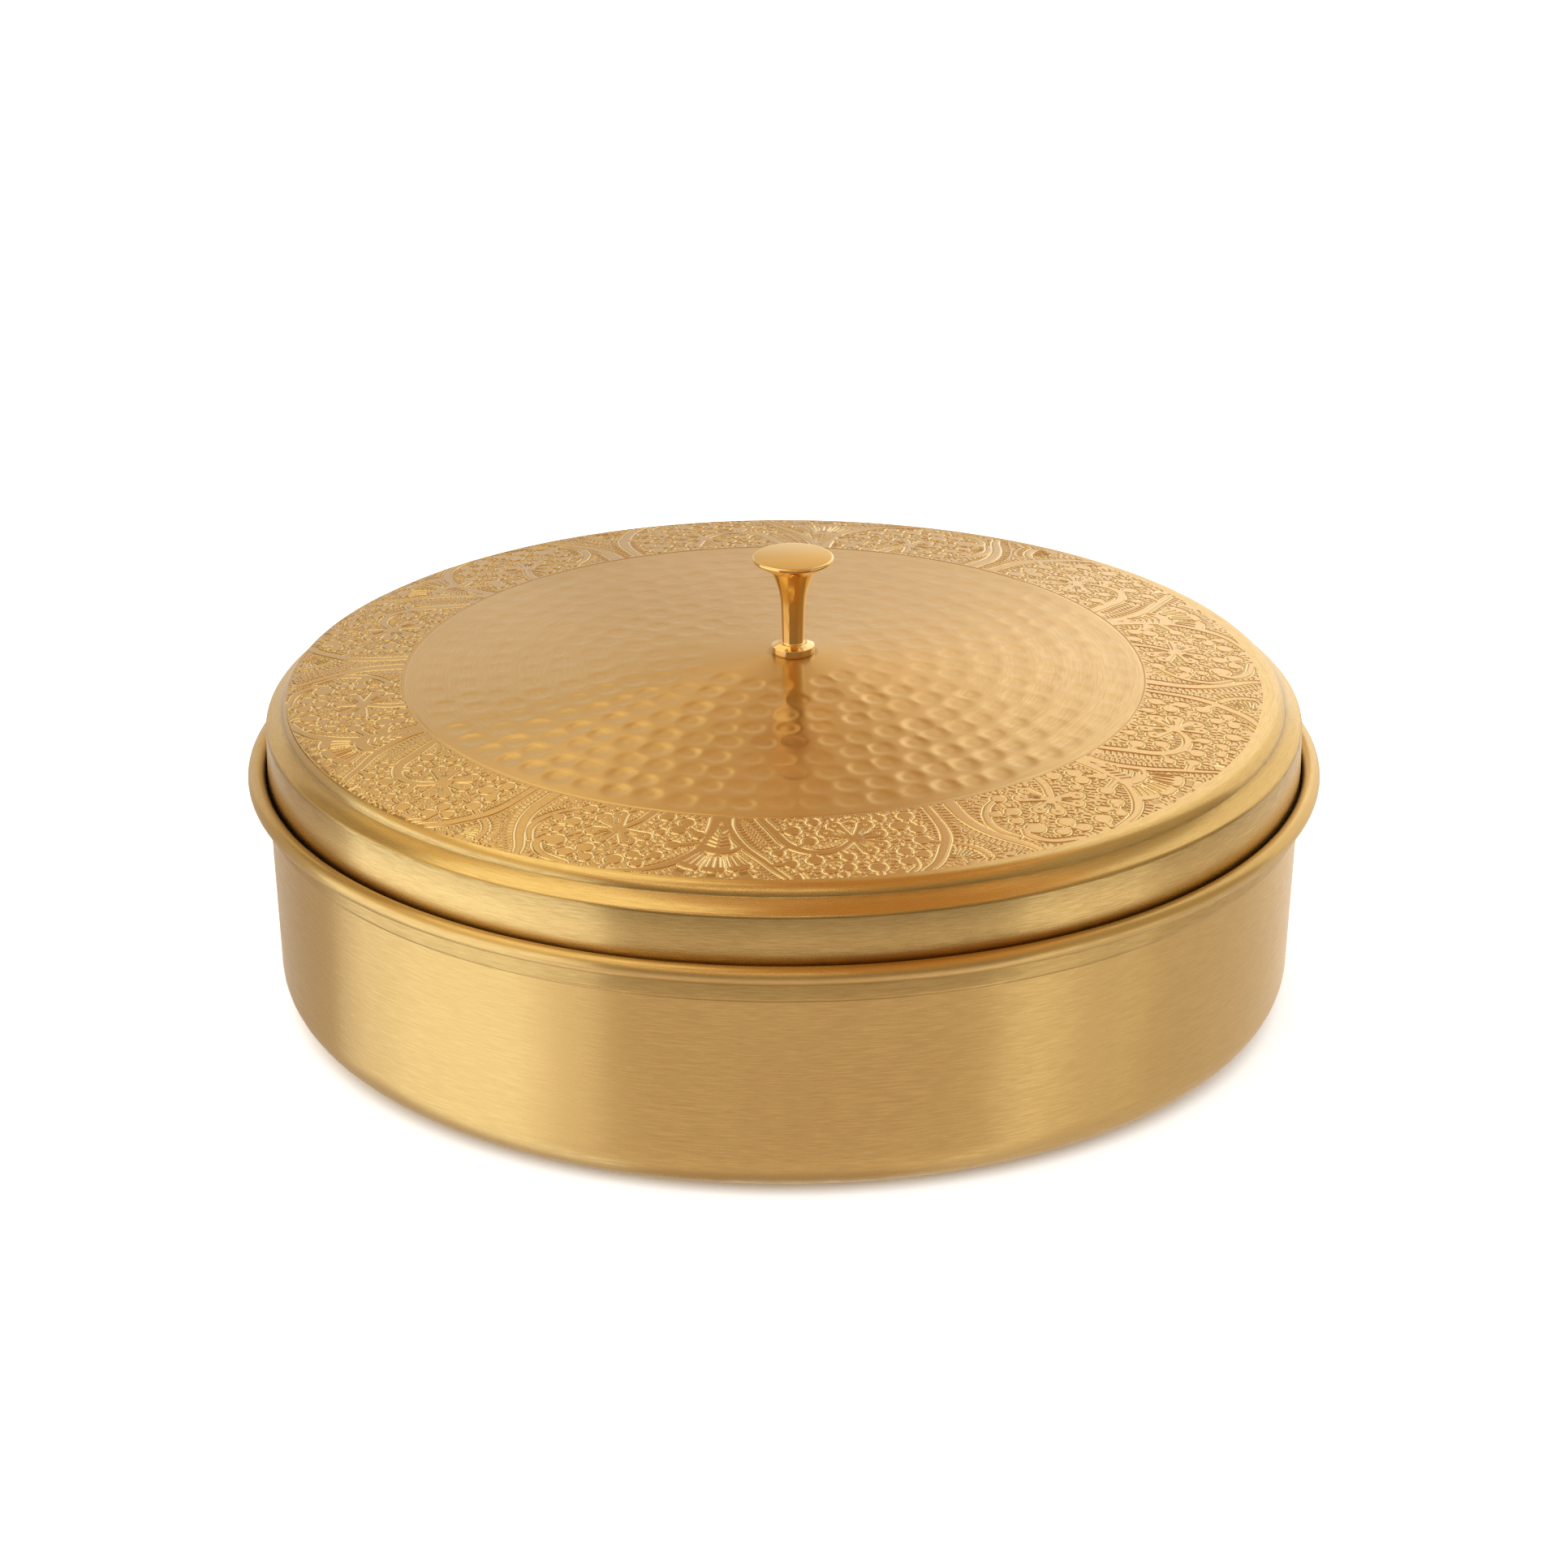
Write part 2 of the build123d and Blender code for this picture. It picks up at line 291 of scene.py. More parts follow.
lidOuter, lidInner = sheetLines(lidSheet)


def bandHeight(r):
    # the band's own line, carried on inward to where the disc starts
    reach, height = lidOuter.T
    onTop = (reach > band["inner"] - band["slack"]) & (height > lidSheet["bandHeight"])
    top = lidOuter[onTop][::-1]
    slope = (top[1, 1] - top[0, 1]) / (top[1, 0] - top[0, 0])
    inside = top[0, 1] + (r - top[0, 0]) * slope
    return np.where(r < top[0, 0], inside, np.interp(r, top[:, 0], top[:, 1]))


def ringGrid(name, columns, rows, place, closed=True):
    # a grid laid round an upright axis: rows run along the sheet's outline, columns run round
    deselectAll()
    bpy.ops.mesh.primitive_grid_add(x_subdivisions=rows, y_subdivisions=columns, size=2)
    piece = bpy.context.object
    piece.name = piece.data.name = name
    co = np.empty(len(piece.data.vertices) * 3)
    piece.data.vertices.foreach_get("co", co)
    row = np.rint((co[0::3] + 1) / 2 * rows).astype(int)
    column = np.rint((co[1::3] + 1) / 2 * columns).astype(int)
    x, y, z = place(row, column)
    piece.data.vertices.foreach_set("co", (np.stack([x, y, z], 1) * mm).ravel())
    piece.data.update()
    if closed:
        bpy.ops.object.mode_set(mode="EDIT")
        bpy.ops.mesh.select_all(action="SELECT")
        bpy.ops.mesh.remove_doubles(threshold=mergeReach * mm)
        bpy.ops.object.mode_set(mode="OBJECT")
    bpy.ops.object.shade_smooth()
    return piece, row, column


def turned(name, columns, line, centre=0, base=0):
    # an outline of radii and heights, turned round an upright axis
    def place(row, column):
        a = 2 * pi * column / columns
        x, y = centre + line[row, 0] * np.sin(a), -line[row, 0] * np.cos(a)
        return x, y, base + line[row, 1]
    piece, _, _ = ringGrid(name, columns, len(line) - 1, place)
    bpy.ops.object.shade_smooth_by_angle(angle=radians(sharpAngle))
    return piece


def addAttribute(piece, name, values):
    attribute = piece.data.attributes.new(name, "FLOAT", "POINT")
    attribute.data.foreach_set("value", np.asarray(values, np.float32))


def places(piece):
    co = np.empty(len(piece.data.vertices) * 3)
    piece.data.vertices.foreach_get("co", co)
    return co[0::3] / mm, co[1::3] / mm, co[2::3] / mm


def tarnish(values, middle, reach, amount=1):
    # a line of painted shade: the whole amount at the middle, none from the reach on
    return amount * np.clip(1 - np.abs(values - middle) / reach, 0, 1)


def between(values, low, high):
    return (values > low) * (values < high)


def ridesAs(piece, body, slot, *nodes):
    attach(piece, body)
    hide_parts(*nodes)


# Etching: one repeat of the floral pattern, laid out by angle and radius. "flat" is the distance to
# the nearest uncut shape, "ray" the phase of the short cuts round it, "cut" the distance to a line
# that is cut into a shape.
cutStyle = {"line": 0.56, "ray": 0.58, "rayPitch": 1.24, "rayLength": 1.65, "rayGap": 0.36,
            "rayCircle": 1, "rayEnd": 0.12, "rayDepth": 0.8, "plain": 0.06, "cutSide": 0.15,
            "cutStart": 0.1, "margin": 0.4, "far": 9.0, "reach": 4, "dotReach": 1,
            "leafSwell": 1.3, "lobeFoot": 1.3, "lobeTip": 1.6, "petalFoot": 0.7, "petalTip": 1.9,
            "petalDot": 0.36, "vein": 0.3, "veins": (-0.34, -0.11, 0.11, 0.34),
            "veinEnds": (0.42, 0.78)}


def unitGrid():
    span = 360 / band["repeats"]
    turn = span * np.arange(band["columns"] + 1) / band["columns"]
    angle = np.radians(band["firstAngle"] + turn)
    radius = np.linspace(band["inner"], band["outer"], band["rows"] + 1)
    a, r = np.meshgrid(angle, radius)
    return {"a": a, "r": r, "x": r * np.sin(a), "y": r * np.cos(a), "ray": a * 0, "span": span,
            "flat": np.full(a.shape, cutStyle["far"]), "cut": np.full(a.shape, cutStyle["far"])}


def window(unit, a, r, reach):
    # the part of the grid within reach of a place, and of its neighbours in the next repeats
    stepA = radians(unit["span"]) / band["columns"]
    stepR = (band["outer"] - band["inner"]) / band["rows"]
    for turn in (-unit["span"], 0, unit["span"]):
        middle = radians(a + turn)
        half = reach / (r - reach)
        c0 = max(int((middle - half - unit["a"][0, 0]) / stepA), 0)
        c1 = int((middle + half - unit["a"][0, 0]) / stepA) + 2
        r0 = max(int((r - reach - band["inner"]) / stepR), 0)
        r1 = int((r + reach - band["inner"]) / stepR) + 2
        if c1 > c0 and r1 > r0 and c0 <= band["columns"] and r0 <= band["rows"]:
            yield slice(r0, r1), slice(c0, c1), r * sin(middle), r * cos(middle), turn


def spot(a, r, turn=0):
    return np.array([r * sin(radians(a + turn)), r * cos(radians(a + turn))])


def beside(a, r, angle, distance):
    # the place at a distance, angle 0 along the band and 90 outward
    x, y = spot(a, r) + distance * np.array([cos(radians(angle - a)), sin(radians(angle - a))])
    return degrees(atan2(x, y)), hypot(x, y)


def keepNearest(unit, rows, cols, distance, ray):
    nearer = distance < unit["flat"][rows, cols]
    unit["flat"][rows, cols] = np.where(nearer, distance, unit["flat"][rows, cols])
    unit["ray"][rows, cols] = np.where(nearer, ray, unit["ray"][rows, cols])


def keepCut(unit, rows, cols, gap):
    unit["cut"][rows, cols] = np.minimum(unit["cut"][rows, cols], gap)


def petal(unit, a, r, radius):
    for rows, cols, x, y, _ in window(unit, a, r, radius + cutStyle["reach"]):
        dx, dy = unit["x"][rows, cols] - x, unit["y"][rows, cols] - y
        rays = round(2 * pi * (radius + cutStyle["rayCircle"]) / cutStyle["rayPitch"])
        ray = np.arctan2(dy, dx) / (2 * pi) * rays
        keepNearest(unit, rows, cols, np.hypot(dx, dy) - radius, ray)


def curve(points, steps=6):
    p = np.array(points, float)
    p = np.vstack([2 * p[0] - p[1], p, 2 * p[-1] - p[-2]])
    line = [0.5 * (2 * p[k] + (p[k + 1] - p[k - 1]) * t
                   + (2 * p[k - 1] - 5 * p[k] + 4 * p[k + 1] - p[k + 2]) * t ** 2
                   + (3 * p[k] - p[k - 1] - 3 * p[k + 1] + p[k + 2]) * t ** 3)
            for k in range(1, len(p) - 2) for t in np.arange(steps) / steps]
    return np.array(line + [p[-2]])


def along(unit, points, use):
    # points of angle, radius and width
    line, travelled = curve(points), 0
    for (a0, r0, w0), (a1, r1, w1) in zip(line, line[1:]):
        length = np.linalg.norm(spot(a1, r1) - spot(a0, r0))
        reach = length / 2 + max(w0, w1) / 2 + cutStyle["reach"]
        for rows, cols, _, _, turn in window(unit, (a0 + a1) / 2, (r0 + r1) / 2, reach):
            p0, d = spot(a0, r0, turn), spot(a1, r1, turn) - spot(a0, r0, turn)
            dx, dy = unit["x"][rows, cols] - p0[0], unit["y"][rows, cols] - p0[1]
            t = np.clip((dx * d[0] + dy * d[1]) / (d @ d), 0, 1)
            gap = np.hypot(dx - t * d[0], dy - t * d[1]) - (w0 + (w1 - w0) * t) / 2
            use(rows, cols, gap, (travelled + t * length) / cutStyle["rayPitch"])
        travelled += length


def stalk(unit, *points):
    along(unit, points, lambda rows, cols, gap, ray: keepNearest(unit, rows, cols, gap, ray))


def cutLine(unit, width, *points):
    line = [(a, r, width) for a, r in points]
    along(unit, line, lambda rows, cols, gap, ray: keepCut(unit, rows, cols, gap))


def dot(unit, a, r, radius=0.42):
    for rows, cols, x, y, _ in window(unit, a, r, radius + cutStyle["dotReach"]):
        gap = np.hypot(unit["x"][rows, cols] - x, unit["y"][rows, cols] - y) - radius
        keepCut(unit, rows, cols, gap)


def leaf(unit, a, r, radius, footA, footR, width=0.9):
    petal(unit, a, r, radius)
    stalk(unit, (footA, footR, width), ((a + footA) / 2, (r + footR) / 2, width),
          (a, r, width * cutStyle["leafSwell"]))


def trefoil(unit, a, r, lobes):
    for lobeA, lobeR, radius in lobes:
        petal(unit, lobeA, lobeR, radius)
        stalk(unit, (a, r, cutStyle["lobeFoot"]), (lobeA, lobeR, cutStyle["lobeTip"]))
    dot(unit, a, r)


def daisy(unit, a, r, petals, eye=1.35):
    for first, second in petals:
        for lobeA, lobeR, radius in (first, second):
            petal(unit, lobeA, lobeR, radius)
            tip = cutStyle["petalTip"] * radius
            stalk(unit, (a, r, cutStyle["petalFoot"]), (lobeA, lobeR, tip))
            dot(unit, lobeA, lobeR, cutStyle["petalDot"])
        for side in cutStyle["veins"]:
            endA = (first[0] + second[0]) / 2 + side * (second[0] - first[0])
            endR = (first[1] + second[1]) / 2 + side * (second[1] - first[1])
            ends = [(a + (endA - a) * t, r + (endR - r) * t) for t in cutStyle["veinEnds"]]
            cutLine(unit, cutStyle["vein"], *ends)
    petal(unit, a, r, eye)


def curledStalkCompartment(unit):
    stalk(unit, (-1.9, 83.2, 1.5), (0.0, 88.6, 1.9), (1.7, 94.0, 2.0), (3.9, 97.1, 1.7),
          (6.2, 97.8, 1.6), (8.3, 96.6, 1.4), (9.7, 94.4, 1.1), (10.4, 92.8, 0.8))
    leaf(unit, 0.6, 97.6, 1.3, 1.9, 94.8)
    leaf(unit, 2.05, 102.2, 1.45, -0.4, 103.0, 1.1)
    leaf(unit, 4.94, 101.0, 1.7, 4.9, 97.6, 1.3)
    leaf(unit, 8.96, 100.2, 1.4, 8.0, 97.2, 1.1)
    leaf(unit, 4.66, 92.9, 1.5, 3.0, 95.6)
    leaf(unit, 2.6, 88.4, 1.65, 0.6, 88.6)
    daisy(unit, 10.4, 92.8, [((11.8, 98.1, 1.5), (13.5, 96.2, 1.55)),
                             ((13.9, 91.4, 1.6), (12.7, 87.5, 1.6)),
                             ((8.4, 87.1, 1.5), (7.0, 89.8, 1.6))])
    trefoil(unit, 7.6, 105.9, [(6.3, 105.6, 1.2), (7.8, 107.3, 0.9), (8.6, 104.4, 1.35)])
    leaf(unit, 11.94, 105.4, 1.75, 11.9, 108.2, 1.0)
    trefoil(unit, 16.4, 102.2, [(15.5, 104.1, 1.45), (17.8, 102.0, 1.45), (15.9, 100.0, 1.5)])
    stalk(unit, (15.2, 108.6, 0.9), (16.3, 106.4, 0.8), (16.4, 103.0, 0.9))
    leaf(unit, 18.8, 96.3, 1.7, 21.0, 98.6, 1.1)
    trefoil(unit, 18.5, 88.4, [(17.1, 89.4, 1.75), (19.2, 91.6, 1.5), (18.8, 85.7, 1.65)])
    stalk(unit, (16.9, 108.9, 1.3), (18.8, 105.9, 1.7), (20.6, 100.9, 1.9), (21.8, 97.0, 2.0),
          (22.4, 93.0, 1.8), (22.6, 89.0, 1.5), (22.7, 83.4, 1.4))
    leaf(unit, 15.0, 85.2, 1.3, 14.6, 83.2, 1.2)
    leaf(unit, 5.6, 85.0, 1.3, 5.3, 83.0, 1.2)


def smallWedge(unit):
    # a fan of cuts under two arcs, its corner at the band's outer edge
    corner, cutEnds, cutWidth = (20.3, 107.2), (3.7, 7.2), 0.42
    lobeAt, lobe, arcs, arcWidth = 8.3, 0.75, (2.3, 3.1), 0.32
    for angle in np.arange(-4, -70, -8.5):
        cutLine(unit, cutWidth, *[beside(*corner, angle, end) for end in cutEnds])
        petal(unit, *beside(*corner, angle, lobeAt), lobe)
    for arc in arcs:
        cutLine(unit, arcWidth, *[beside(*corner, angle, arc) for angle in range(10, -91, -20)])
    stalk(unit, (30.6, 108.4, 1.2), (29.9, 105.2, 1.5), (28.2, 100.4, 1.8), (26.9, 95.5, 2.0),
          (26.3, 91.0, 2.2), (26.3, 87.0, 2.4), (26.4, 83.2, 2.6))


def crescentCompartment(unit):
    stalk(unit, (30.2, 102.2, 0.8), (28.9, 98.6, 1.2), (28.6, 95.2, 1.4), (29.2, 91.4, 1.3),
          (30.6, 88.3, 1.1), (32.2, 86.6, 0.9))
    stalk(unit, (36.6, 108.4, 1.1), (33.2, 106.6, 1.4), (31.4, 103.0, 1.5), (31.8, 100.0, 1.5))
    petal(unit, 33.1, 100.4, 2.1)
    trefoil(unit, 36.8, 103.4, [(35.5, 104.2, 1.6), (38.2, 105.0, 1.6), (37.3, 101.2, 1.75)])
    leaf(unit, 41.5, 104.3, 1.85, 41.0, 107.8, 1.0)
    trefoil(unit, 44.8, 102.6, [(44.3, 104.8, 1.35), (43.3, 101.4, 1.4), (46.0, 100.8, 1.45)])
    leaf(unit, 47.4, 96.0, 1.6, 50.6, 94.4, 1.2)
    daisy(unit, 39.6, 91.9, [((36.4, 94.2, 1.6), (38.1, 96.8, 1.6)),
                             ((41.7, 96.3, 1.6), (43.3, 93.6, 1.55)),
                             ((36.4, 88.2, 1.6), (38.2, 86.0, 1.45))])
    stalk(unit, (39.8, 91.6, 1.0), (40.6, 89.4, 1.3), (41.6, 86.8, 1.4), (42.4, 83.2, 1.6))
    petal(unit, 32.0, 95.9, 1.3)
    trefoil(unit, 31.4, 93.0, [(30.5, 91.6, 1.3), (33.0, 92.2, 1.6)])
    petal(unit, 33.4, 86.0, 1.5)
    trefoil(unit, 48.4, 88.4, [(47.2, 89.4, 1.75), (50.1, 91.0, 1.4), (47.9, 86.2, 1.6)])
    petal(unit, 44.8, 84.4, 1.6)
    petal(unit, 45.0, 91.0, 1.2)
    stalk(unit, (41.2, 108.9, 0.9), (45.3, 107.0, 1.4), (47.9, 103.9, 1.9), (50.0, 99.9, 2.2),
          (51.2, 95.9, 2.0), (51.6, 90.6, 1.8), (51.8, 87.0, 1.9), (52.0, 83.2, 2.6))


def bigPalmette(unit):
    # a pointed leaf: a fan of three ribbed scallops over an arc, and a veined blade below it
    stalk(unit, (61.6, 108.4, 0.9), (60.4, 105.3, 1.2), (58.9, 101.2, 1.4), (56.7, 96.3, 1.5),
          (54.9, 91.2, 1.7), (53.7, 86.8, 1.9), (53.2, 83.2, 2.4))
    root, scallop = (53.2, 92.6), ((7.3, 2.4), (11.4, 4.3))
    lobeAt, lobe, ribEnds, ribWidth = 12.2, 1.25, (7.1, 11.3), 0.52
    for angle in (64, 90, 116):
        stalk(unit, *[(*beside(*root, angle, distance), width) for distance, width in scallop])
        for side in (-6, 6):
            petal(unit, *beside(*root, angle + side, lobeAt), lobe)
        for side in (-8, 0, 8):
            cutLine(unit, ribWidth, *[beside(*root, angle + side, end) for end in ribEnds])
    arc, arcWidth = 5.2, 1.15
    stalk(unit, *[(*beside(*root, angle, arc), arcWidth) for angle in range(36, 146, 12)])
    stalk(unit, (53.2, 95.4, 5.2), (53.1, 91.6, 3.4), (52.9, 88.4, 1.6), (52.7, 86.6, 0.5))
    middle, veinStart, veinDrop, veinHook, veinWidth = 53.1, 0.45, 0.9, 0.2, 0.5
    for r, reach in ((95.6, 2.5), (94.1, 2.3), (92.6, 1.9), (91.1, 1.5), (89.6, 1.0)):
        for side in (180, 0):
            tip = beside(*beside(middle, r - veinDrop, side, reach), -90, veinHook)
            cutLine(unit, veinWidth, beside(middle, r, side, veinStart), tip)


def cutDepths(unit):
    # 0 where the brass is left, 1 at the bottom of a cut
    def groove(gap, width):
        return np.clip(1 - (gap / (width / 2)) ** 2, 0, 1)
    outline = groove(unit["flat"] - cutStyle["line"] / 2, cutStyle["line"])
    step = cutStyle["rayLength"] + cutStyle["rayGap"]
    out = (unit["flat"] - cutStyle["line"] - cutStyle["plain"]) / step
    row = np.floor(out)
    place = (out - row) * step
    ends = np.minimum(place, cutStyle["rayLength"] - place) / cutStyle["rayEnd"]
    across = (unit["ray"] + 0.5 * row) % 1 - 0.5
    rays = groove(across * cutStyle["rayPitch"], cutStyle["ray"]) * np.clip(ends, 0, 1) * (out > 0)
    lines = np.clip(-unit["cut"] / cutStyle["cutSide"] + cutStyle["cutStart"], 0, 1)
    depth = np.maximum(np.maximum(outline, rays * cutStyle["rayDepth"]), lines)
    margin = np.minimum(band["outer"] - unit["r"], unit["r"] - band["inner"])
    depth *= np.clip(margin / cutStyle["margin"], 0, 1)
    depth[:, -1] = depth[:, 0]
    return depth


def makeBand():
    unit = unitGrid()
    curledStalkCompartment(unit)
    smallWedge(unit)
    crescentCompartment(unit)
    bigPalmette(unit)
    depth = cutDepths(unit)
    probe = band["probe"]
    made = []
    for number in range(band["repeats"]):
        def place(row, column):
            a = unit["a"][row, column] + radians(unit["span"] * number)
            r = unit["r"][row, column]
            x, y = band["centre"] + r * np.sin(a), -r * np.cos(a)
            reach = np.hypot(x, y)
            slope = (bandHeight(reach + probe) - bandHeight(reach - probe)) / (2 * probe)
            down = depth[row, column] * band["depth"] / np.sqrt(1 + slope ** 2)
            return (x + down * slope * x / reach, y + down * slope * y / reach,
                    bandHeight(reach) - down)
        piece, row, column = ringGrid(f"etched_band_{number + 1}", band["columns"], band["rows"],
                                      place, closed=False)
        addAttribute(piece, "cut", depth[row, column])
        ridesAs(piece, "lid", "lid_brass", "lid")
        made.append(piece)
    return made


bandPieces = makeBand()
print("etched band made")


# Disc: hammered in rings round the band's centre, with a scribed line at its edge
disc = {
    "columns": 720,
    "seatCentre": 2.0,
    "seatRadius": 5.2,
    "seatHeight": 78.8,
    "holeRadius": 1.65,
    "seatRows": 6,
    "hammeredRows": 104,
    "rimRows": [1.1, 0.62, 0.44, 0.26, 0],
    "lineDepth": 0.09,
    "hammer": {"outerRing": 76.2, "innerRing": 11.5, "pitch": 7.2, "reach": (3.2, 4.1),
               "depth": (0.09, 0.15), "side": 0.6, "worn": 0.42, "freshFrom": -2,
               "freshTo": (42, 78), "jitter": 0.625, "blend": 4, "seed": 7},
    # painted shadow in a ring round the knob's foot
    "foot": (4.9, 0.4),
    # darker towards the front right
    "dull": {"amount": 0.14, "towards": (0.906, -0.42), "from": 28, "over": 40},
}


def hammered(x, y):
    hammer = disc["hammer"]
    chance = np.random.default_rng(hammer["seed"])
    total = np.zeros(len(x))
    ring = hammer["outerRing"]
    while ring > hammer["innerRing"]:
        count = round(2 * pi * ring / hammer["pitch"])
        start = chance.uniform(0, 2 * pi)
        for k in range(count):
            a = start + 2 * pi * k / count + chance.normal(0, hammer["jitter"]) / ring
            r = ring + chance.normal(0, hammer["jitter"])
            reach, depth = chance.uniform(*hammer["reach"]), chance.uniform(*hammer["depth"])
            # the blows are crisp in front and brushed down elsewhere
            turn = abs((degrees(a) - hammer["freshFrom"] + 180) % 360 - 180)
            depth *= np.interp(turn, hammer["freshTo"], (1, hammer["worn"]))
            gap = np.hypot(x - band["centre"] - r * sin(a), y + r * cos(a)) / reach
            near = gap < 1
            side = np.clip((1 - gap[near]) / hammer["side"], 0, 1)
            total[near] += (depth * side ** 2 * (3 - 2 * side)) ** hammer["blend"]
        ring -= hammer["pitch"]
    return total ** (1 / hammer["blend"])


def makeDisc():
    # the last rows lie closer, for the scribed line
    seatRows, width = disc["seatRows"], band["inner"] - disc["seatRadius"]
    steps = np.linspace(0, 1 - disc["rimRows"][0] / width, disc["hammeredRows"])[:-1]
    steps = np.concatenate([steps, 1 - np.array(disc["rimRows"]) / width])
    rows = seatRows + len(steps) - 1

    def place(row, column):
        a = 2 * pi * column / disc["columns"]
        outward = steps[np.clip(row - seatRows, 0, None)]
        centre = disc["seatCentre"] + (band["centre"] - disc["seatCentre"]) * outward
        r = disc["seatRadius"] + (band["inner"] - disc["seatRadius"]) * outward
        seat = np.clip(row / seatRows, 0, 1)
        seatReach = disc["holeRadius"] + (disc["seatRadius"] - disc["holeRadius"]) * seat
        r = np.where(row < seatRows, seatReach, r)
        x, y = centre + r * np.sin(a), -r * np.cos(a)
        rim = bandHeight(np.hypot(band["centre"] + band["inner"] * np.sin(a),
                                  -band["inner"] * np.cos(a)))
        z = disc["seatHeight"] + (rim - disc["seatHeight"]) * outward
        down = hammered(x, y)
        down += disc["lineDepth"] * (row == rows - 2)
        return x, y, z - down
    piece, _, _ = ringGrid("hammered_disc", disc["columns"], rows, place)
    x, y, _ = places(piece)
    # painted shadow round the knob's foot, and the disc darker towards the front right
    footShadow, dull = tarnish(np.hypot(x - disc["seatCentre"], y), *disc["foot"]), disc["dull"]
    outward = dull["towards"][0] * x + dull["towards"][1] * y
    darkerFrontRight = dull["amount"] * np.clip((outward - dull["from"]) / dull["over"], 0, 1)
    addAttribute(piece, "mark", np.maximum(footShadow, darkerFrontRight))
    ridesAs(piece, "lid", "lid_brass", "lid")
    return piece


discPiece = makeDisc()
print("hammered disc made")


def makeLidEdge():
    # from the band's outer circle over the edge, the crease, the shoulder and the skirt, and inside
    top = lidOuter[::-1]
    travelled = np.concatenate([[0], np.cumsum(np.hypot(*np.diff(top, axis=0).T))])
    onEdge = (top[:, 0] > lidSheet["edgeReach"]) & (top[:, 1] < lidSheet["edgeHeight"])
    bendEnd = int(np.argmax(onEdge))
    skirt = [(top[-1, 0], z) for z in lidSheet["skirtRows"]]
    rest = np.vstack([top[bendEnd:-1], skirt, top[-1:], lidInner])
    edgeRows = lidSheet["edgeRows"]
    rows = edgeRows + len(rest) - 1

    def place(row, column):
        a = 2 * pi * column / lidSheet["columns"]
        c = -band["centre"]
        bandReach = -c * np.sin(a) + np.sqrt((c * np.sin(a)) ** 2 - c ** 2 + band["outer"] ** 2)
        start = np.interp(bandReach, top[:bendEnd + 1, 0], travelled[:bendEnd + 1])
        s = start + (travelled[bendEnd] - start) * np.clip(row / edgeRows, 0, 1)
        later = np.clip(row - edgeRows, 0, None)
        r = np.where(row < edgeRows, np.interp(s, travelled, top[:, 0]), rest[later, 0])
        z = np.where(row < edgeRows, np.interp(s, travelled, top[:, 1]), rest[later, 1])
        return r * np.sin(a), -r * np.cos(a), z
    piece, _, _ = ringGrid("lid_edge", lidSheet["columns"], rows, place)
    bpy.ops.object.shade_smooth_by_angle(angle=radians(sharpAngle))
    x, y, z = places(piece)
    # painted shade on the skirt level with the rim, in the shoulder's corner and in the crease
    onSkirt, inCrease = (tarnish(z, *lidSheet[name]) for name in ("skirtShade", "creaseShade"))
    outside = np.hypot(x, y) > lidSheet["cornerOutside"]
    inCorner = tarnish(z, *lidSheet["cornerShade"]) * outside
    addAttribute(piece, "mark", np.maximum(np.maximum(onSkirt, inCorner), inCrease))
    ridesAs(piece, "lid", "lid_brass", "lid")
    return piece


edgePiece = makeLidEdge()
print("lid edge made")


# Box, in mm: the same sheet as the frame's node, with rounder columns and clean bends
boxSheet = {
    "corners": [(0, 0), (113.44, 0), (115.42, 46.3), (116.82, 46.3), (116.82, 53.16)],
    "bends": [9.5, 0.3, 1.15],
    "neckRows": (48.6, 50, 50.9, 51.4, 52),
    "thickness": 0.9,
    "bendSteps": 9,
    "beadCentre": (117.96, 53.16),
    "beadRadius": 2.04,
    "beadTurn": 296,
    "beadSteps": 26,
    "columns": 720,
    # painted shade in the groove that the lid drops into, where the rolled edge meets the neck and,
    # thinly, on the neck; "line" is a middle height, a reach and an amount
    "groove": {"amount": 0.6, "top": 54.9, "fade": 0.8, "radii": (115.8, 116.5), "above": 47},
    "corner": {"line": (51.2, 0.5, 0.8), "radii": (116.6, 117.2)},
    "neck": {"amount": 0.13, "heights": (46.2, 51), "outside": 115.6},
}


def makeBoxShell():
    outer, inner = sheetLines(boxSheet)
    neckRows = [(boxSheet["corners"][-1][0], z) for z in boxSheet["neckRows"]]
    turn = np.radians(180 - boxSheet["beadTurn"] * np.linspace(0, 1, boxSheet["beadSteps"] + 1))
    ring = np.stack([np.cos(turn), np.sin(turn)], 1)
    hollow = boxSheet["beadCentre"] + ring * (boxSheet["beadRadius"] - boxSheet["thickness"])
    bead = boxSheet["beadCentre"] + ring * boxSheet["beadRadius"]
    line = np.vstack([outer[:-1], neckRows, outer[-1:], hollow[1:], bead[::-1], inner[-2::-1]])
    piece = turned("box_shell", boxSheet["columns"], line)
    x, y, z = places(piece)
    r = np.hypot(x, y)
    groove, corner, neck = (boxSheet[name] for name in ("groove", "corner", "neck"))
    # painted shade in the groove, under the rolled edge and on the neck
    inGroove = groove["amount"] * np.clip((groove["top"] - z) / groove["fade"], 0, 1)
    inGroove = inGroove * between(r, *groove["radii"]) * (z > groove["above"])
    inCorner = tarnish(z, *corner["line"]) * between(r, *corner["radii"])
    onNeck = neck["amount"] * between(z, *neck["heights"]) * (r > neck["outside"])
    addAttribute(piece, "mark", np.maximum(np.maximum(inGroove, inCorner), onNeck))
    ridesAs(piece, "box", "box_brass", "box_body")
    return piece


shellPiece = makeBoxShell()
print("box shell made")


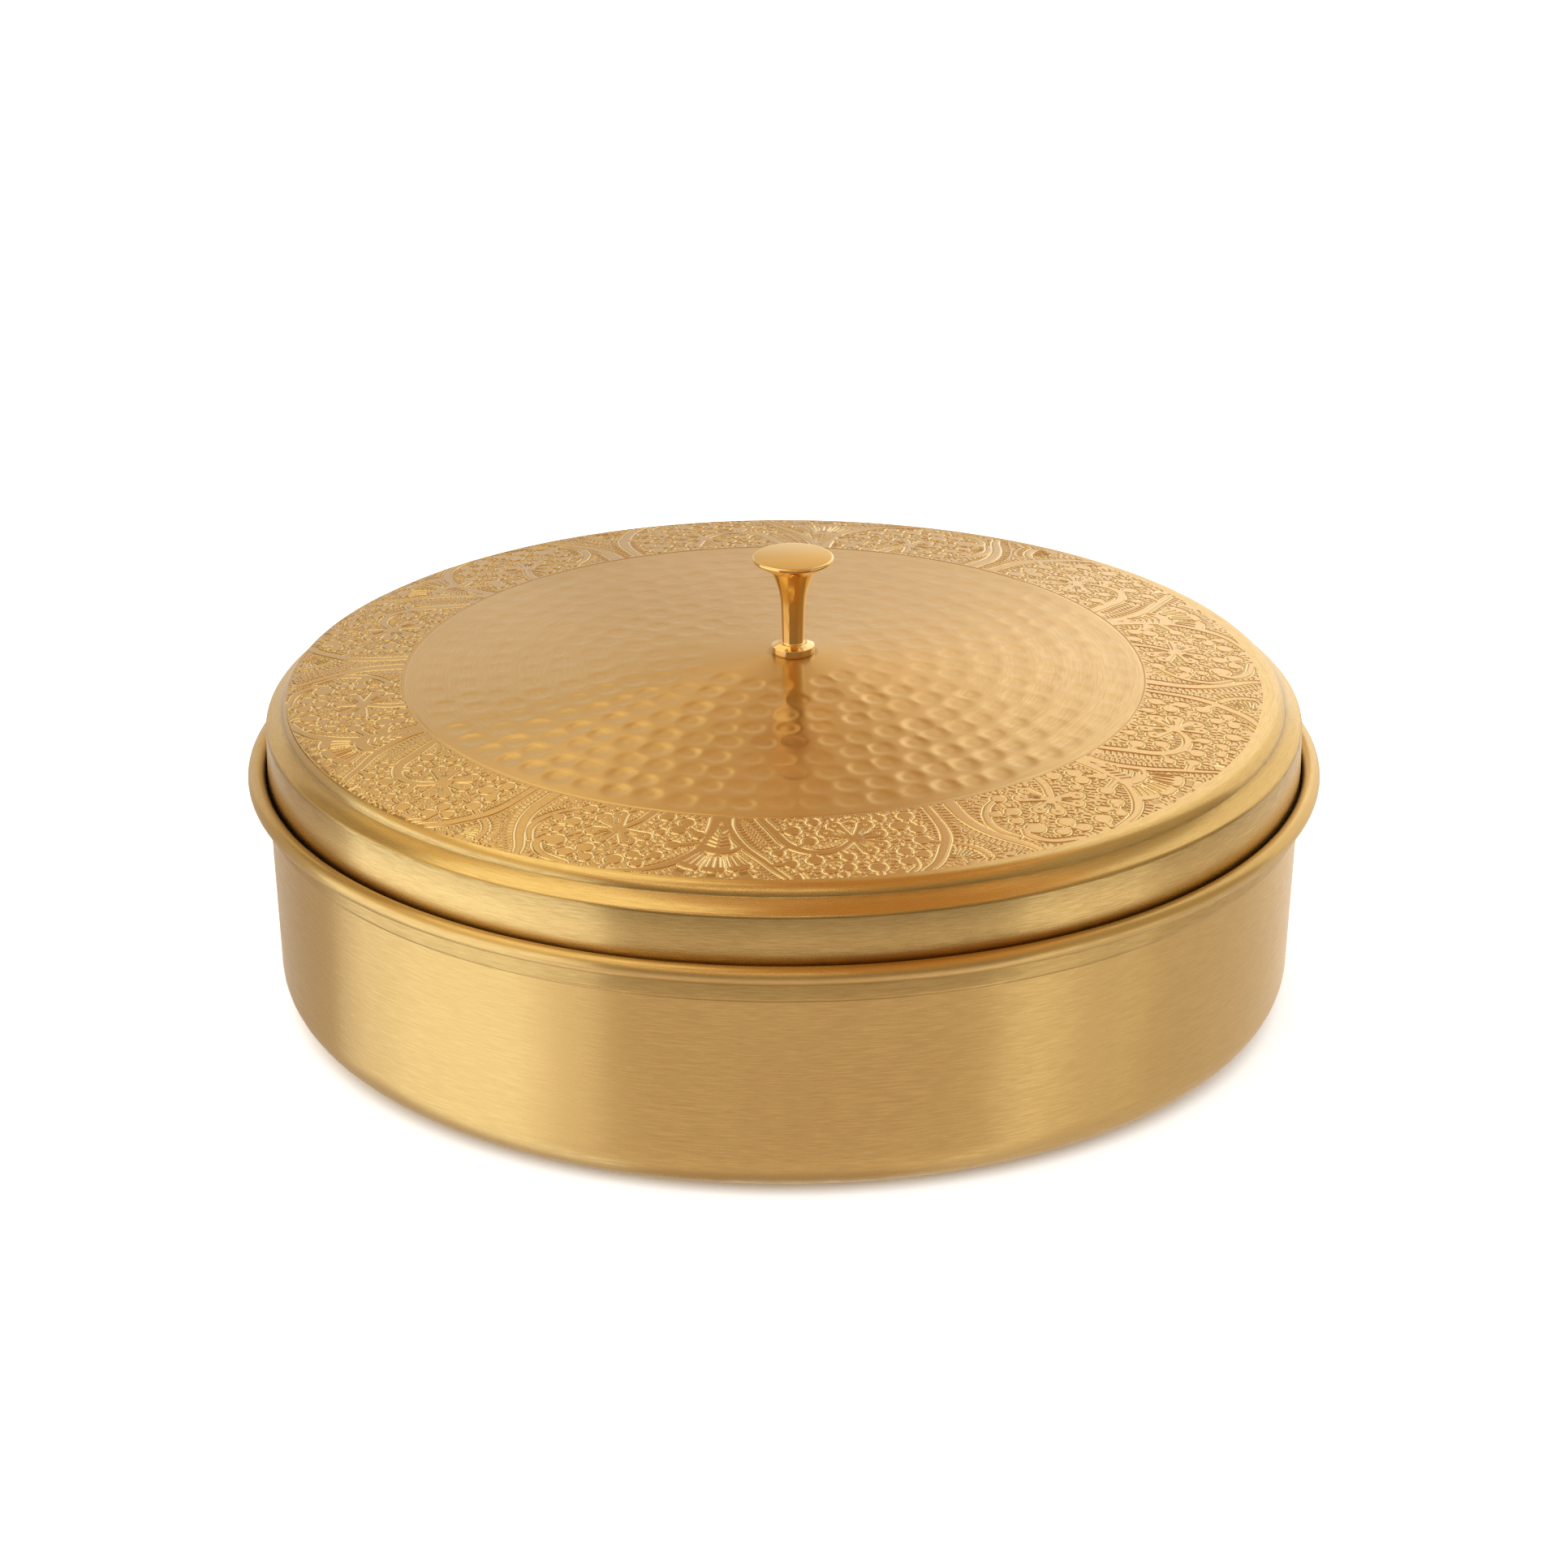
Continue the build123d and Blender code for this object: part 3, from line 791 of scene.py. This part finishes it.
# Knob, in mm above its seat: the same outline as the frame's node, with the edges a little eased
knobSheet = {
    "corners": [(0, 8.05), (1.55, 8.05), (1.55, 0), (4.8, 0), (4.8, 1.7), (3.2, 2.35), (2.42, 2.35),
                (2.844, 15.452), (5, 19.35), (5.5, 19.6), (9.02, 21.82), (9.02, 22.6), (8, 22.666)],
    "bends": [0, 0, 0.12, 0.14, 0.1, 0.3, 18.48, 0.1, 0.1, 0.3, 0.4],
    "bendSteps": 6,
    "dome": 0.3,
    "domeReach": 8.7,
    "domeSteps": 9,
    "top": 22.92,
    "columns": 160,
}


def makeKnob():
    line = roundedLine(knobSheet["corners"], knobSheet["bends"], knobSheet["bendSteps"])
    reach = np.linspace(line[-1, 0], 0, knobSheet["domeSteps"])
    height = knobSheet["top"] - knobSheet["dome"] * (reach / knobSheet["domeReach"]) ** 2
    line = np.vstack([line[:-1], np.stack([reach, height], 1)])
    piece = turned("turned_knob", knobSheet["columns"], line, centre=disc["seatCentre"],
                   base=disc["seatHeight"])
    ridesAs(piece, "lid", "knob_brass", "knob")
    return piece


knobPiece = makeKnob()
print("knob made")


# Brass finishes: how each is made and what that gives the eye. The marks of brushing and turning
# run round each piece's own axis. Real ones are under 0.1 mm; "streak", in mm, draws them two to
# three times as coarse, so that they still show.
# "mark" is the colour of the painted shade, and of the disc's darkening towards the front right,
# that the mark attribute lays on
brass = {
    # spun and brushed: fine level lines, and lights drawn out into upright bars
    "wall": {"tone": "#D4B576", "deep": "#BF9E63", "roughness": 0.29, "across": 0.86,
             "streak": 0.3, "length": 5, "grain": 0.09, "bump": 0.008, "mark": "#3A2710"},
    # brushed a little uphill as it turned: warm lights that lean
    "lid": {"tone": "#D8BA7C", "deep": "#C0A066", "roughness": 0.26, "across": 0.76,
            "streak": 0.26, "length": 4, "grain": 0.18, "bump": 0.01, "mark": "#3E2C10",
            "slant": 12},
    # hammered, then buffed round the middle: soft dimples, and light in a fan from the knob
    "disc": {"tone": "#D8B67C", "deep": "#C8A66C", "roughness": 0.21, "across": 0.7,
             "streak": 0.34, "length": 10, "grain": 0.12, "bump": 0.006, "mark": "#3A2508"},
    # cut with a punch: satin islands, and cuts between them with painted shade on their walls
    # and a painted highlight at their bottoms
    "band": {"tone": "#D0AE78", "deep": "#C29E6A", "roughness": 0.22, "across": 0.2,
             "streak": 0.3, "length": 3, "grain": 0.14, "bump": 0.005, "edge": "#8A6430",
             "cut": "#FFECB2"},
    # turned and polished: nearly a mirror, with a thin line of light on every edge
    "knob": {"tone": "#F0D296", "deep": "#E6C486", "roughness": 0.06, "across": 0.4,
             "streak": 0.12, "length": 8, "grain": 0.05, "bump": 0.002},
    # spun and left satin: broad soft lights round the inside
    "cup": {"tone": "#E6CA92", "deep": "#D4B47C", "roughness": 0.3, "across": 0.7,
            "streak": 0.2, "length": 5, "grain": 0.18, "bump": 0.008},
    # turned and left plain: dull and even
    "fixing": {"tone": "#C9A970", "deep": "#AD8C56", "roughness": 0.3, "across": 0.4,
               "streak": 0.12, "length": 4, "grain": 0.08, "bump": 0.004},
    # pressed and buffed by hand: smooth, with a soft sheen along the handle
    "spoon": {"tone": "#D8B679", "deep": "#C29E62", "roughness": 0.2, "across": 0.3,
              "streak": 0.15, "length": 5, "grain": 0.06, "bump": 0.003},
}
# What the finishes share. "length" above is of a streak on the wall, whose radius is "wallRadius".
finish = {
    "wallRadius": 115,
    "streaks": {"Scale": 1.0, "Detail": 3.0, "Roughness": 0.6},
    "clouds": {"Scale": 28.0, "Detail": 3.0},
    "cloudShade": {"operation": "MULTIPLY_ADD", 1: 0.65, 2: -0.05},
    "grainContrast": 8,
    "cutStart": {"From Min": 0.02, "From Max": 0.25, "To Max": 0.4},
    "cutBottom": {"From Min": 0.3, "From Max": 0.85, "To Max": 0.85},
    "tarnishBreak": {"operation": "MULTIPLY_ADD", 1: 1.6, 2: 0.2},
    "roughFrom": {"From Min": 0.3, "From Max": 0.7},
    "roughTo": (0.85, 1.2),
}


def roundAxis(tree, centre):
    # the place round the piece's own upright axis, the direction outward from it, and the distance
    # along the sheet that the streaks are counted by: height less radius
    where = addNode(tree, "TexCoord")
    centred = addNode(tree, "Mapping", {"Location": (-centre[0] * mm, -centre[1] * mm, 0)},
                      {"Vector": where.outputs["Object"]})
    parts = addNode(tree, "SeparateXYZ", links={0: centred})
    level = addNode(tree, "VectorMath", {"operation": "MULTIPLY", 1: (1, 1, 0)}, {0: centred})
    reach = addNode(tree, "VectorMath", {"operation": "LENGTH"}, {0: level})
    outward = addNode(tree, "VectorMath", {"operation": "NORMALIZE"}, {0: level})
    meridian = addNode(tree, "Math", {"operation": "SUBTRACT"},
                       {0: parts.outputs[2], 1: reach.outputs["Value"]})
    return centred, outward, meridian


def streakNoise(tree, look, outward, meridian):
    scale = finish["wallRadius"] / look["length"]
    around = addNode(tree, "VectorMath", {"operation": "SCALE", "Scale": scale}, {0: outward})
    lines = addNode(tree, "Math", {"operation": "MULTIPLY", 1: 1 / (look["streak"] * mm)},
                    {0: meridian})
    upright = addNode(tree, "CombineXYZ", links={2: lines})
    place = addNode(tree, "VectorMath", {"operation": "ADD"}, {0: around, 1: upright})
    return addNode(tree, "TexNoise", finish["streaks"], {"Vector": place})


def etchedTint(tree, look, tint):
    # painted shade where a cut starts, on its walls, and a painted highlight at its bottom
    depth = addNode(tree, "Attribute", {"attribute_name": "cut"})
    start = addNode(tree, "MapRange", finish["cutStart"], {"Value": depth.outputs["Fac"]})
    bottom = addNode(tree, "MapRange", finish["cutBottom"], {"Value": depth.outputs["Fac"]})
    edged = addNode(tree, "Mix", {"data_type": "RGBA", 7: linear(look["edge"])},
                    {0: start, 6: tint})
    bright = addNode(tree, "Mix", {"data_type": "RGBA", 7: linear(look["cut"])},
                     {0: bottom, 6: edged.outputs[2]})
    return bright.outputs[2]


def darkenedTint(tree, look, tint, streaks):
    # painted shade, and the disc's darkening towards the front right, broken up by the brushing
    mark = addNode(tree, "Attribute", {"attribute_name": "mark"})
    broken = addNode(tree, "Math", finish["tarnishBreak"], {0: streaks})
    amount = addNode(tree, "Math", {"operation": "MULTIPLY", "use_clamp": True},
                     {0: mark.outputs["Fac"], 1: broken})
    dark = addNode(tree, "Mix", {"data_type": "RGBA", 7: linear(look["mark"])},
                   {0: amount, 6: tint})
    return dark.outputs[2]


def brassMaterial(name, look, centre=(0, 0)):
    # one material for each finish: streaks along the turning, rough across and smooth along them
    material, tree = emptyMaterial(name)
    centred, outward, meridian = roundAxis(tree, centre)
    streaks = streakNoise(tree, look, outward, meridian)
    clouds = addNode(tree, "TexNoise", finish["clouds"], {"Vector": centred})
    cloudShade = addNode(tree, "Math", finish["cloudShade"], {0: clouds})
    contrast = look["grain"] * finish["grainContrast"]
    grainShade = addNode(tree, "Math", {"operation": "MULTIPLY_ADD", 1: contrast, 2: -contrast / 2},
                         {0: streaks})
    mixed = addNode(tree, "Math", {"operation": "ADD", "use_clamp": True},
                    {0: grainShade, 1: cloudShade})
    colours = {"data_type": "RGBA", 6: linear(look["tone"]), 7: linear(look["deep"])}
    tint = addNode(tree, "Mix", colours, {0: mixed}).outputs[2]
    if "cut" in look:
        tint = etchedTint(tree, look, tint)
    if "mark" in look:
        tint = darkenedTint(tree, look, tint, streaks)
    least, most = finish["roughTo"]
    spread = {"To Min": look["roughness"] * least, "To Max": look["roughness"] * most}
    rough = addNode(tree, "MapRange", {**finish["roughFrom"], **spread}, {"Value": streaks})
    bump = addNode(tree, "Bump", {"Strength": 1.0, "Distance": look["bump"] * mm},
                   {"Height": streaks})
    surface = addNode(tree, "NewGeometry")
    turning = addNode(tree, "VectorMath", {"operation": "CROSS_PRODUCT", 0: (0, 0, 1)},
                      {1: outward})
    across = addNode(tree, "VectorMath", {"operation": "CROSS_PRODUCT"},
                     {0: turning, 1: surface.outputs["Normal"]})
    if "slant" in look:
        # brushed a little uphill, so the glints lean
        rise = tan(radians(look["slant"]))
        slanted = addNode(tree, "VectorMath", {"operation": "SCALE", "Scale": rise}, {0: turning})
        across = addNode(tree, "VectorMath", {"operation": "ADD"}, {0: across, 1: slanted})
    shader = addNode(tree, "BsdfPrincipled", {"Metallic": 1.0, "Anisotropic": look["across"]},
                     {"Base Color": tint, "Roughness": rough, "Normal": bump, "Tangent": across})
    addNode(tree, "OutputMaterial", links={"Surface": shader})
    return material


def finishWith(piece, material):
    piece.data.materials.clear()
    piece.data.materials.append(material)


def finishNode(name, material):
    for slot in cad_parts[name].material_slots:
        slot.material = material


onBand, onKnob = (band["centre"], 0), (disc["seatCentre"], 0)
finishWith(shellPiece, brassMaterial("Brass, spun and brushed", brass["wall"]))
finishWith(edgePiece, brassMaterial("Brass, spun lid edge, brushed", brass["lid"]))
finishWith(discPiece, brassMaterial("Brass, hammered and brushed", brass["disc"], onBand))
etched = brassMaterial("Brass, etched", brass["band"], onBand)
for piece in bandPieces:
    finishWith(piece, etched)
finishWith(knobPiece, brassMaterial("Brass, turned and polished", brass["knob"], onKnob))
fixing = brassMaterial("Brass, turned, plain", brass["fixing"], onKnob)
finishNode("knob_washer", fixing)
finishNode("knob_screw", fixing)
cups = {"ring": 75.114, "count": 6}
for number in range(cups["count"]):
    a = radians(360 / cups["count"] * number)
    centre = (cups["ring"] * cos(a), cups["ring"] * sin(a))
    satin = brassMaterial(f"Brass, spun cup {number + 1}", brass["cup"], centre)
    finishNode(f"cup_{number + 1}", satin)
finishNode("cup_centre", brassMaterial("Brass, spun middle cup", brass["cup"]))
finishNode("spoon", brassMaterial("Brass, pressed and polished", brass["spoon"]))
print("finishes made")
